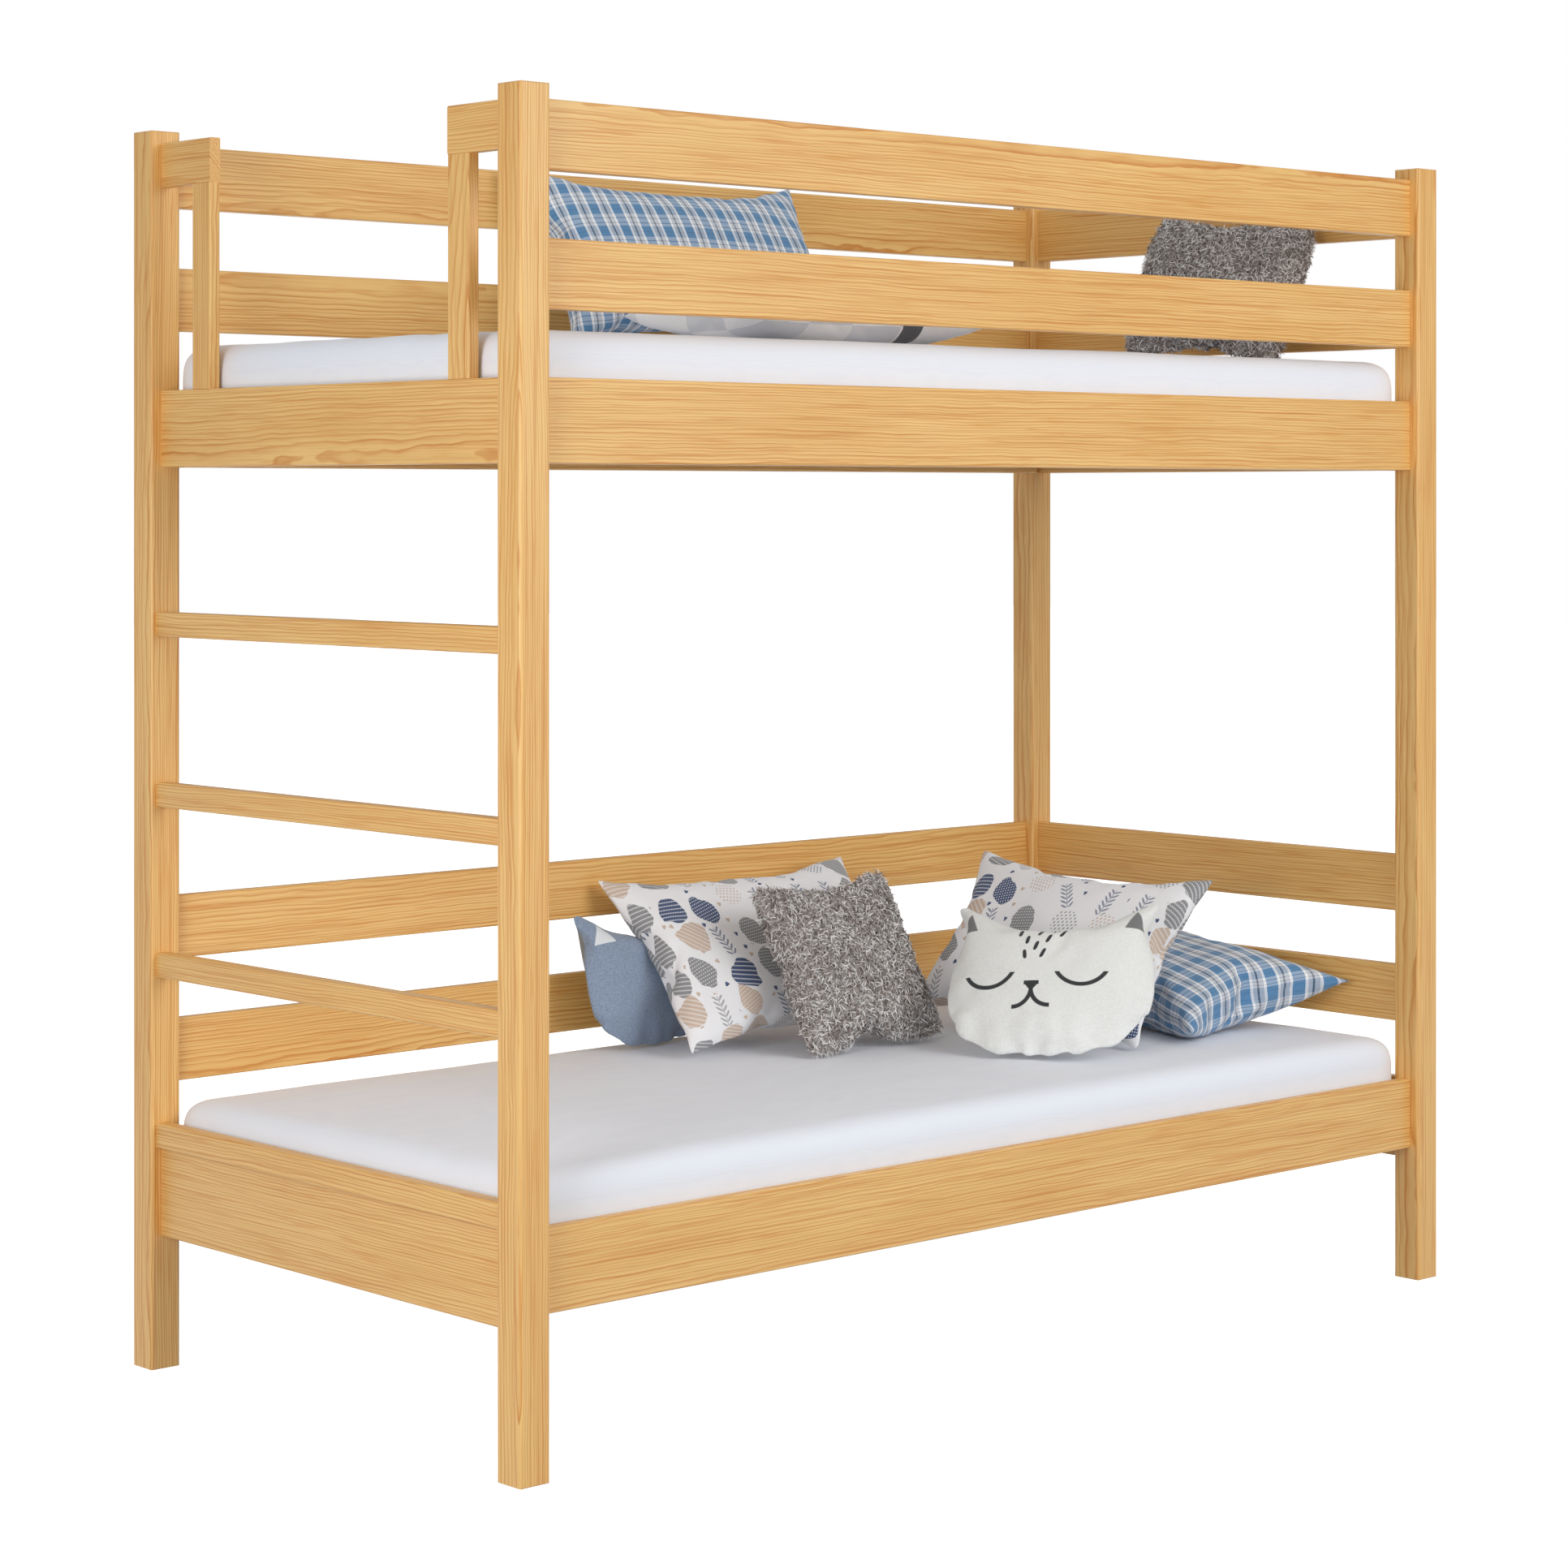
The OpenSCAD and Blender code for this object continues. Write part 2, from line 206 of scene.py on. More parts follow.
class Finish:  # one material, and what lays its nodes
    def __init__(self, name, shader):
        self.material = bpy.data.materials.new(name)
        self.material.use_nodes = True
        self.tree = self.material.node_tree
        self.shader = self.tree.nodes["Principled BSDF"]
        self.set(shader)

    def set(self, values):
        for socket, value in values.items():
            plug(self.tree, self.shader.inputs[socket], value)

    def node(self, kind, settings=None, sockets=None, out=0):
        return layNode(self.tree, kind, settings, sockets, out)

    def mix(self, factor, first, second, how="MIX"):
        settings = {"data_type": "RGBA", "blend_type": how}
        return self.node("Mix", settings, {0: factor, 6: first, 7: second}, out=2)

    def split(self, vector):
        x = self.node("SeparateXYZ", sockets={0: vector})
        return x, x.beside(1), x.beside(2)

    def join(self, x, y, z):
        return self.node("CombineXYZ", sockets={0: x, 1: y, 2: z})

    def noise(self, where, scale, stretch=(1, 1, 1), detail=2.0, rough=0.5):
        spread = self.node("VectorMath", {"operation": "MULTIPLY"}, {0: where, 1: stretch})
        return self.node("TexNoise", sockets={
            "Vector": spread, "Scale": scale, "Detail": detail, "Roughness": rough,
        })

    def shadeBy(self, colour, amount, depth):  # darker where the amount is low
        grey = 1 - depth + amount * depth * 1.4
        shade = self.node("CombineColor", sockets={0: grey, 1: grey, 2: grey})
        return self.mix(1.0, colour, shade, "MULTIPLY")

    def bump(self, height, distance, strength=1.0):
        sockets = {"Height": height, "Distance": distance, "Strength": strength}
        self.set({"Normal": self.node("Bump", sockets=sockets)})

    def objectPlace(self):
        return self.node("TexCoord", out=3)

    def clothPlace(self, size):  # the piece's own map, in metres from its middle
        flat = self.node("UVMap", {"uv_map": "cloth"})
        corner = (-size[0] / 2, -size[1] / 2, 0)
        sockets = {"Vector": flat, "Location": corner, "Scale": (*size[:2], 1)}
        return self.node("Mapping", sockets=sockets)


def lightSky(look):  # white behind the bed, softer on it, and softer still from below
    tree = sky.node_tree
    seen = layNode(tree, "LightPath", out="Is Camera Ray")
    way = layNode(tree, "TexCoord", out="Generated")
    height = layNode(tree, "SeparateXYZ", sockets={0: way}, out=2)
    light = height.above(0.0) * (look["skyLight"] - look["groundLight"]) + look["groundLight"]
    shine = tree.nodes["Background"]
    plug(tree, shine.inputs["Strength"], seen * (1 - light) + light)
    plug(tree, shine.inputs["Color"], (1, 1, 1, 1))


lightSky(studio)

timber = {
    "pine": {
        "early": dye(242, 197, 124),
        "late": dye(202, 126, 44),
        "streak": dye(214, 140, 58),
        "warm": dye(226, 173, 95),
        "ringsPerMetre": 230,
        "waver": 0.007,
        "ripple": 0.0016,
        "roughness": 0.42,
        "coat": 0.16,
    },
    "rawPine": {
        "early": dye(236, 212, 168),
        "late": dye(206, 166, 112),
        "streak": dye(208, 170, 120),
        "warm": dye(226, 196, 146),
        "ringsPerMetre": 160,
        "waver": 0.010,
        "ripple": 0.0016,
        "roughness": 0.7,
        "coat": 0.0,
    },
    "beech": {
        "early": dye(222, 186, 140),
        "late": dye(200, 158, 112),
        "streak": dye(190, 146, 100),
        "warm": dye(214, 174, 128),
        "ringsPerMetre": 500,
        "waver": 0.004,
        "ripple": 0.0006,
        "roughness": 0.55,
        "coat": 0.0,
    },
}
# waves a metre along, across and up a board, for each kind of unevenness
grainWaves = {
    "bend": (0.9, 5, 5), "twist": (1.3, 7, 7), "ripple": (9, 26, 26), "cloud": (2.2, 14, 14),
    "streak": (7, 120, 120), "thread": (3.5, 300, 300), "fibre": (9, 620, 620),
}
# how dark the wood grows from one ring to the next
ringStops = [(0, 0), (0.4, 0.06), (0.7, 0.4), (0.86, 1), (0.95, 0.75), (1, 0)]
grainTurn = {"x": (0, 0, 0), "y": (0, 0, -math.pi / 2), "z": (0, math.pi / 2, 0)}


def timberFinish(name, grain, centre, heart, look, draw):
    wood = Finish(name, {"Coat Weight": look["coat"], "Coat Roughness": 0.3, "IOR": 1.5})
    turn = Matrix.Identity(3)
    for axis, angle in zip("XYZ", grainTurn[grain]):
        turn = Matrix.Rotation(angle, 3, axis) @ turn
    middle = turn @ Vector(centre)
    shift = (draw.uniform(2, 40), -middle.y - heart[0], -middle.z - heart[1])
    sockets = {"Vector": wood.objectPlace(), "Rotation": grainTurn[grain], "Location": shift}
    board = wood.node("Mapping", sockets=sockets)

    def waves(kind, detail=2.0, rough=0.5):
        return wood.noise(board, 1.0, grainWaves[kind], detail, rough)

    # the tree's rings, a little out of round
    along, across, up = wood.split(board)
    across = across + (waves("bend", 1.0) - 0.5) * look["waver"] * 4
    up = up + (waves("twist", 1.0) - 0.5) * look["waver"] * 4
    ripple = (waves("ripple") - 0.5) * look["ripple"] * 4
    distance = (across * across + up * up).root() + ripple
    spacing = wood.noise(wood.join(distance * 60, 0.0, 0.0), 1.0, detail=1.0)
    rings = distance * look["ringsPerMetre"] + spacing * 2.4
    stops = [(place, (tone, tone, tone, 1)) for place, tone in ringStops]
    late = wood.node("ValToRGB", {"stops": stops}, {0: rings.part()})
    # some rings are darker than others
    strength = wood.noise(wood.join(along * 2.2, rings.whole() * 3.7, 0.0), 1.0, detail=2.0)
    fade = ((strength - 0.3) * 2.2).held()
    colour = wood.mix(((waves("cloud") - 0.35) * 2).held() * 0.75, look["early"], look["warm"])
    colour = wood.mix((late * (0.35 + fade * 0.75)).held(), colour, look["late"])
    colour = wood.mix(((waves("thread") - 0.52) * 6).held() * 0.5, colour, look["late"])
    colour = wood.mix(((waves("streak") - 0.58) * 6).held() * 0.55, colour, look["streak"])
    fibre = waves("fibre", 3.0, 0.6)
    shade = {0: 0.88 + fibre * 0.24, 1: 0.86 + fibre * 0.27, 2: 0.80 + fibre * 0.34}
    light = wood.node("CombineColor", sockets=shade)
    wood.set({
        "Base Color": wood.mix(1.0, colour, light, "MULTIPLY"),
        "Roughness": look["roughness"] + late * 0.08 + (fibre - 0.5) * 0.16,
    })
    wood.bump(fibre * 0.6 + late * 0.6, 0.00018, 0.6)
    return wood.material


# which way the grain runs, by a word in the timber node's name; the rest run along the bed
grainWays = {
    "post": "z", "gate_upright": "z", "gate_board": "y", "rung": "y", "slats": "y",
    "ladder_board": "y", "foot_board": "y", "guard_foot": "y", "rest_foot": "y",
}
slotOf = {part["node"]: part["material_slot"] for part in frame["record"]["subparts"]}


def grainOf(node):
    for word, way in grainWays.items():
        if word in node:
            return way
    return "x"


def dress(node, material):  # a CAD node keeps its shape and gets a better finish
    held = nodes[node].data.materials
    if len(held) == 0:
        held.append(material)
    for number in range(len(held)):
        held[number] = material


def middleOf(node):
    low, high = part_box(node)
    return (Vector(low) + Vector(high)) / 2


def dressTimber():
    draw = random.Random(41)
    looks = {"pine": timber["pine"], "raw_pine": timber["rawPine"], "beech": timber["beech"]}
    for node in nodes:
        look = looks.get(slotOf[node])
        if look is None:
            continue
        heart = (  # how far the tree's middle was from the board's
            draw.uniform(0.03, 0.075) * draw.choice((-1, 1)),
            draw.uniform(0.035, 0.15) * draw.choice((-1, 1)),
        )
        finish = timberFinish("timber_" + node, grainOf(node), middleOf(node), heart, look, draw)
        dress(node, finish)


dressTimber()
print("timber dressed")

hardware = {
    "zinc": {"light": dye(206, 210, 214), "dark": dye(168, 172, 180), "roughness": 0.32},
    "tape": {"light": dye(236, 234, 228), "dark": dye(196, 194, 188), "pitch": 0.0022},
}


def zincFinish(look):
    metal = Finish("zincPlate", {"Metallic": 1.0})
    place = metal.objectPlace()
    cloud = metal.noise(place, 260.0, detail=3.0)
    metal.set({
        "Base Color": metal.mix(cloud, look["dark"], look["light"]),
        "Roughness": look["roughness"] + (cloud - 0.5) * 0.2,
    })
    metal.bump(metal.noise(place, 1800.0), 0.00005, 0.5)
    return metal.material


def tapeFinish(look):
    tape = Finish("slatTape", {"Roughness": 0.85})
    across, along, up = tape.split(tape.objectPlace())
    rib = ((across + along) * (2 * math.pi / look["pitch"])).sine() * 0.5 + 0.5
    tape.set({"Base Color": tape.mix(rib, look["dark"], look["light"])})
    tape.bump(rib, 0.0003, 0.8)
    return tape.material


metalFinish = zincFinish(hardware["zinc"])
webFinish = tapeFinish(hardware["tape"])
for node in nodes:
    if slotOf[node] == "zinc":
        dress(node, metalFinish)
    if slotOf[node] == "webbing":
        dress(node, webFinish)
print("fasteners and tapes dressed")


def weave(cloth, flat, pitch):  # threads going over and under each other
    u, v, w = cloth.split(flat)
    overs = (u * (math.pi / pitch)).sine() * (v * (math.pi / pitch)).sine()
    fine, coarse = 1 / pitch, 0.16 / pitch
    slub = cloth.noise(flat, 1.0, (coarse, fine, 1), detail=2.0)
    slubAcross = cloth.noise(flat, 1.0, (fine, coarse, 1), detail=2.0)
    return overs * overs * 0.6 + (slub + slubAcross) * 0.5


def bands(cloth, along, repeat, stops):  # stripes that repeat, as stops of a ramp
    settings = {"stops": stops, "blending": "CONSTANT"}
    return cloth.node("ValToRGB", settings, {0: (along / repeat).part()})


plaid = {
    "repeat": 0.046,
    "warp": [
        (0.00, dye(82, 134, 180)), (0.42, dye(255, 255, 255)), (0.52, dye(192, 199, 210)),
        (0.66, dye(56, 64, 82)), (0.73, dye(192, 199, 210)), (0.90, dye(255, 255, 255)),
    ],
    "weft": [
        (0.00, dye(98, 142, 182)), (0.20, dye(66, 98, 140)), (0.24, dye(98, 142, 182)),
        (0.46, dye(226, 232, 240)), (0.58, dye(110, 126, 152)), (0.62, dye(226, 232, 240)),
        (0.80, dye(110, 126, 152)), (0.84, dye(226, 232, 240)),
    ],
    "warpShare": 0.36,
    "pitch": 0.0009,
}


def plaidFinish(name, size, look):
    cloth = Finish(name, {"Roughness": 0.85, "Sheen Weight": 0.25, "Sheen Roughness": 0.5})
    flat = cloth.clothPlace(size)
    drift = cloth.noise(flat, 9.0, detail=1.0) - 0.5
    u, v, w = cloth.split(flat)
    warp = bands(cloth, u + drift * 0.004 + 1.0, look["repeat"], look["warp"])
    weft = bands(cloth, v + drift * 0.004 + 1.0, look["repeat"], look["weft"])
    threads = weave(cloth, flat, look["pitch"])
    woven = cloth.mix(look["warpShare"], warp, weft)
    cloth.set({"Base Color": cloth.shadeBy(woven, threads, 0.16)})
    cloth.bump(threads, 0.0004, 0.5)
    return cloth.material


check = {
    "square": 0.1,
    "white": dye(255, 255, 255),
    "pale": dye(228, 230, 235),
    "darkBand": dye(96, 98, 102),
    "darkBandFrom": 0.075,
    "darkBandTo": 0.115,
    "pitch": 0.0009,
}


def checkFinish(name, size, look):  # big squares, a dark band, and a plain end past it
    cloth = Finish(name, {"Roughness": 0.85, "Sheen Weight": 0.2})
    flat = cloth.clothPlace(size)
    u, v, w = cloth.split(flat)
    column = (u / (look["square"] * 2) + 10.15).part().above(0.5)
    row = (v / (look["square"] * 2) + 10.25).part().above(0.5)
    squares = abs(column - row) * u.below(look["darkBandFrom"])
    threads = weave(cloth, flat, look["pitch"])
    ground = cloth.mix(squares, look["white"], look["pale"])
    # a dark band across the pillow, between the squares and the plain end
    darkBand = u.above(look["darkBandFrom"]) * u.below(look["darkBandTo"])
    ground = cloth.mix(darkBand, ground, look["darkBand"])
    cloth.set({"Base Color": cloth.shadeBy(ground, threads, 0.14)})
    cloth.bump(threads, 0.0004, 0.5)
    return cloth.material


prints = {
    "ground": dye(243, 243, 246),
    "navy": dye(70, 86, 122),
    "grey": dye(142, 143, 146),
    "tan": dye(208, 186, 168),
    "large": 0.072,
    "small": 0.028,
    "pitch": 0.0006,
}


def pebble(cloth, flat, x, y, wide):  # an uneven round shape, 0 outside to 1 inside
    wobble = cloth.noise(flat, 34.0, detail=1.0) - 0.5
    width = (0.023 - y * 0.20) * wide
    across, up = x / width, y / 0.031
    return (across * across + up * up + wobble * 1.5).under(1.0, 0.06)


def sprig(x, y):  # a stem with pairs of leaves
    pitch = 0.0105
    side = abs(x) - 0.0062
    step = ((y - side * 0.9) / pitch).part() - 0.5
    across = step * pitch / 0.0026
    along = side / 0.0056
    leaf = (across * across + along * along).under(1.0, 0.3)
    stem = abs(x).under(0.0007, 0.0005)
    reach = abs(y).below(0.030)
    return leaf.most(stem) * reach


def dashes(x, y):  # a round patch of short strokes
    wide, tall = 0.0062, 0.0088
    column = x / wide
    row = y / tall + column.whole() * 0.37
    across = (column.part() - 0.5) * wide / 0.0013
    along = (row.part() - 0.5) * tall / 0.0029
    stroke = (across * across + along * along).under(1.0, 0.4)
    patch = (x * x + y * y).below(0.026 ** 2)
    return stroke * patch


def heart(x, y):
    side = abs(x)
    lift = y - side * 0.75
    return (side * side * 1.2 + lift * lift).under(0.0042 ** 2, 0.000004)


def scatter(cloth, flat, cell, randomness):
    # where a point lies in its motif's own turned square, and three random numbers for it
    spots = cloth.node(
        "TexVoronoi",
        {"voronoi_dimensions": "2D"},
        {"Vector": flat, "Scale": 1 / cell, "Randomness": randomness},
        out=1,
    )
    chance = cloth.node("SeparateColor", sockets={0: spots})
    picks = (chance, chance.beside(1), chance.beside(2))
    away = cloth.node("VectorMath", {"operation": "SUBTRACT"}, {0: flat, 1: spots.beside("Position")})
    x, y, z = cloth.split(away)
    angle = (picks[0] - 0.5) * 1.5
    turnedX = x * angle.cosine() - y * angle.sine()
    turnedY = x * angle.sine() + y * angle.cosine()
    return turnedX, turnedY, picks


def printFinish(name, size, look):
    cloth = Finish(name, {"Roughness": 0.8, "Sheen Weight": 0.15})
    flat = cloth.clothPlace(size)
    x, y, picks = scatter(cloth, flat, look["large"], 0.45)
    kind = picks[2]
    body = pebble(cloth, flat, x, y, 0.8 + picks[0] * 0.6)
    dotX, dotY = (x / 0.0052).part() - 0.5, (y / 0.0060).part() - 0.5
    dots = (dotX * dotX + dotY * dotY).under(0.05, 0.04)
    zigzag = abs((y / 0.0085 + abs((x / 0.0050).part() - 0.5) * 0.5).part() - 0.5).under(0.10, 0.08)
    marks = dots * picks[0].below(0.5) + zigzag * picks[0].above(0.5)
    leaves = sprig(x, y)
    strokes = dashes(x, y)
    isBody = kind.below(0.58)
    isSprig = kind.above(0.58) * kind.below(0.82)
    isStrokes = kind.above(0.82)
    shown = body * isBody * (1 - marks * 0.85) + leaves * isSprig * 0.75 + strokes * isStrokes
    tone = cloth.mix(picks[1].below(0.66), look["tan"], look["grey"])
    tone = cloth.mix(picks[1].below(0.36), tone, look["navy"])
    fillX, fillY, fillPicks = scatter(cloth, flat, look["small"], 0.9)
    small = heart(fillX, fillY) * fillPicks[2].below(0.45)
    small = small * (x * x + y * y).above(0.033 ** 2)
    smallTone = cloth.mix(fillPicks[1].below(0.5), look["tan"], look["navy"])
    painted = cloth.mix(shown.held(), look["ground"], tone)
    painted = cloth.mix(small.held(), painted, smallTone)
    threads = weave(cloth, flat, look["pitch"])
    cloth.set({"Base Color": cloth.shadeBy(painted, threads, 0.08)})
    cloth.bump(threads, 0.0002, 0.4)
    return cloth.material


linen = {
    "ground": dye(253, 254, 252),
    "thread": dye(210, 214, 211),
    "ink": dye(52, 54, 56),
    "ear": dye(122, 123, 124),
    "pitch": 0.0023,
    # eye arcs, nose, mouth and forehead strokes, in metres from the face's middle
    "eyes": ((-0.098, -0.036), (0.057, -0.036)),
    "eyeRadius": 0.046,
    "eyeDrop": 0.0245,
    "nose": (-0.0245, -0.032),
    "line": 0.0036,
    "mouthRadius": 0.031,
    "strokes": (
        (-0.050, 0.066, 0.15), (-0.017, 0.067, 0.3), (0.021, 0.066, 0.55), (-0.037, 0.050, 0.15),
        (-0.002, 0.052, 0.4), (-0.022, 0.038, 0.3), (-0.040, 0.022, -0.1), (-0.010, 0.024, 0.4),
    ),
    "strokeHalf": (0.0032, 0.0085),
    "ears": ((-0.148, 0.091), (0.143, 0.091)),
}


def arcMark(x, y, centre, radius, line, drop):  # the lowest part of a circle
    across, up = x - centre[0], y - centre[1] - radius
    away = (across * across + up * up).root()
    return abs(away - radius).under(line, 0.0012) * y.below(centre[1] + drop)


def linenFinish(name, size, look, isFront):  # the face is on the front only
    cloth = Finish(name, {"Roughness": 0.9, "Sheen Weight": 0.2})
    flat = cloth.clothPlace(size)
    x, y, z = cloth.split(flat)
    threads = weave(cloth, flat, look["pitch"])
    mottle = cloth.noise(flat, 260.0, detail=3.0, rough=0.7)
    ground = cloth.mix((threads * 0.5 + mottle * 0.7).held(), look["thread"], look["ground"])
    cloth.bump(threads, 0.0009, 0.8)
    if not isFront:
        cloth.set({"Base Color": ground})
        return cloth.material
    ink = 0.0
    line = look["line"]
    for centre in look["eyes"]:
        ink = arcMark(x, y, centre, look["eyeRadius"], line, look["eyeDrop"]) + ink
    noseX, noseY = look["nose"]
    fromNose = x - noseX
    bar = abs(fromNose).below(0.0125) * abs(y - noseY).below(line)
    tip = abs(fromNose).under((y - noseY + 0.016) * 0.8, 0.001) * (y - noseY).below(0)
    ink = ink + bar + tip
    bend = look["mouthRadius"]
    for side in (-1, 1):
        outward = fromNose * side
        lip = arcMark(x, y, (noseX + side * bend, noseY - 0.041), bend, line, 0.029)
        ink = lip * outward.above(-0.002) * outward.below(bend + 0.001) + ink
    wide, tall = look["strokeHalf"]
    for strokeX, strokeY, lean in look["strokes"]:
        across = ((x - strokeX) - (y - strokeY) * lean) / wide
        along = (y - strokeY) / tall
        along = along * along
        ink = (across * across + along * along).under(1.0, 0.5) + ink
    ears = 0.0
    for earX, earY in look["ears"]:
        away = abs(x - earX) + (y - earY) * 0.45
        ears = away.under(0.013, 0.002) * (y - earY).above(-0.015) + ears
    marked = cloth.mix(ears.held(), ground, look["ear"])
    cloth.set({"Base Color": cloth.mix(ink.held(), marked, look["ink"])})
    return cloth.material


denim = {
    "front": (dye(70, 96, 130), dye(166, 180, 200)),
    "back": (dye(104, 106, 106), dye(146, 148, 146)),
    "ear": dye(226, 230, 234),
    "earSpots": ((-0.114, 0.078), (0.114, 0.078)),
    "pitch": 0.0019,
}


def denimFinish(name, size, tones, spots, look):
    cloth = Finish(name, {"Roughness": 0.9, "Sheen Weight": 0.3})
    flat = cloth.clothPlace(size)
    x, y, z = cloth.split(flat)
    threads = weave(cloth, flat, look["pitch"])
    twill = ((x + y) * (2 * math.pi / 0.0022)).sine() * 0.25 + 0.5
    mottle = (cloth.noise(flat, 280.0, detail=3.0, rough=0.7) - 0.5) * 0.9
    ground = cloth.mix((threads * 0.6 + twill * 0.4 + mottle).held(), tones[0], tones[1])
    patch = 0.0
    for spotX, spotY in spots:
        away = abs(x - spotX)
        patch = (away + (y - spotY) * 0.5).under(0.014, 0.002) * (y - spotY).above(-0.016) + patch
    if spots:
        ground = cloth.mix(patch.held(), ground, look["ear"])
    cloth.set({"Base Color": ground})
    cloth.bump(threads * 0.5 + twill * 0.5, 0.0006, 0.6)
    return cloth.material


sheet = {
    "tone": dye(244, 248, 255),
    "shade": dye(230, 235, 246),
    "pitch": 0.0011,
}


def sheetFinish(look):
    cloth = Finish("sheetCotton", {"Roughness": 0.8, "Sheen Weight": 0.2, "Sheen Roughness": 0.4})
    place = cloth.objectPlace()
    x, y, z = cloth.split(place)
    count = 2 * math.pi / look["pitch"]
    threads = ((x * count).sine() + (y * count).sine() + (z * count).sine()) / 6 + 0.5
    fuzz = cloth.noise(place, 900.0, detail=2.0)
    cloth.set({"Base Color": cloth.mix((threads * 0.5 + fuzz * 0.5), look["shade"], look["tone"])})
    cloth.bump(threads * 0.6 + fuzz * 0.6, 0.0004, 0.35)
    return cloth.material


fur = {
    "dark": dye(96, 74, 62),
    "light": dye(255, 254, 253),
    "blades": 24000,
    "long": 0.017,
    "wide": 0.0019,
    # along a blade: how far up it, and how much of its width is left
    "rows": ((0.0, 0.8), (0.45, 1.0), (0.8, 0.7)),
    # some hairs are dark and some light
    "tones": (0.0, 0.06, 0.22, 0.5, 0.95, 1.0),
}


def furFinish(name, dark, light, blade):
    hair = Finish(name, {"Roughness": 0.75, "Sheen Weight": 0.3})
    if blade:  # the map holds each blade's own tone, and how far along it a point lies
        tone, reach, z = hair.split(hair.node("UVMap", {"uv_map": "cloth"}))
    else:
        tone, reach = hair.noise(hair.objectPlace(), 300.0), 0.1
        hair.bump(tone, 0.002, 0.8)
    shade = (tone * 0.72 + reach * reach * 0.34).held()
    hair.set({"Base Color": hair.mix(shade, dark, light)})
    return hair.material


mattress = {
    "pieces": {
        "upperMattress": ("upper_mattress", "upper_bedding", 3.0),
        "lowerMattress": ("lower_mattress", "lower_bedding", 11.0),
    },
    "cell": 0.022,
    "edge": 0.046,
    "rise": 0.0016,
    "ripples": 0.0034,
    "sideCrease": 0.0012,
    # waves a metre, as the two rows that turn a place along and across the bed into the noise's own
    "longWave": ((3.2, 4.0), (-2.4, 9)),
    "fineWave": ((16, 7), (0, 22)),
}


def showPiece(name, mesh, materials):
    data = bpy.data.meshes.new(name)
    mesh.to_mesh(data)
    mesh.free()
    for material in materials:
        data.materials.append(material)
    data.shade_smooth()
    piece = bpy.data.objects.new(name, data)
    bpy.context.scene.collection.objects.link(piece)
    return piece


def soften(piece):  # one round of subdivision
    smooth = piece.modifiers.new("smooth", "SUBSURF")
    smooth.levels = 1
    smooth.render_levels = 1


def cutAlong(mesh, axis, cuts):  # loops across every edge that runs along one axis
    edges = []
    for edge in mesh.edges:
        line = edge.verts[0].co - edge.verts[1].co
        if abs(line[axis]) > 0.9 * line.length:
            edges.append(edge)
    bmesh.ops.subdivide_edges(mesh, edges=edges, cuts=cuts, use_grid_fill=True)


def unevenness(place, rows, seed):
    turned = [place.x * row[0] + place.y * row[1] for row in rows]
    return noise.noise(Vector((*turned, seed)))


def makeMattress(name, node, body, seed, look, material):
    low, high = (Vector(corner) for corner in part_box(node))
    size = high - low
    mesh = bmesh.new()
    bmesh.ops.create_cube(mesh, size=1)
    bmesh.ops.scale(mesh, vec=size, verts=mesh.verts)
    bmesh.ops.translate(mesh, vec=(low + high) / 2, verts=mesh.verts)
    for axis in range(3):
        cutAlong(mesh, axis, int(size[axis] / look["cell"]))
    inner = Vector((look["edge"],) * 3)
    coreLow, coreHigh = low + inner, high - inner
    for vert in mesh.verts:
        core = Vector(min(max(vert.co[axis], coreLow[axis]), coreHigh[axis]) for axis in range(3))
        out = vert.co - core
        if out.length > 0:
            vert.co = core + out.normalized() * look["edge"]
    mesh.normal_update()
    for vert in mesh.verts:
        place = vert.co
        long = unevenness(place, look["longWave"], seed)
        fine = unevenness(place, look["fineWave"], seed + 5)
        side = noise.noise(Vector((place.x * 34, place.y * 34, place.z * 5 + seed)))
        facing = abs(vert.normal.z)
        fromCorner = Vector((place.x - low.x, place.y - low.y)).length
        pulled = max(1 - fromCorner / 1.1, 0) ** 0.8 * min(fromCorner / 0.15, 1)
        fan = place.y * 30 - place.x * 5 + long * 2
        pull = noise.noise(Vector((place.x * 2.0, fan, seed + 9)))
        give = (long * 1.2 + fine * 0.4) * look["rise"] * facing
        give += pull * pulled * look["ripples"] * facing
        give += side * look["sideCrease"] * (1 - facing)
        vert.co = place + vert.normal * (give - look["rise"])
    piece = showPiece(name, mesh, [material])
    soften(piece)
    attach(piece, body)
    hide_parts(node)


cotton = sheetFinish(sheet)
for name, (node, body, seed) in mattress["pieces"].items():
    makeMattress(name, node, body, seed, mattress, cotton)
print("mattresses made")

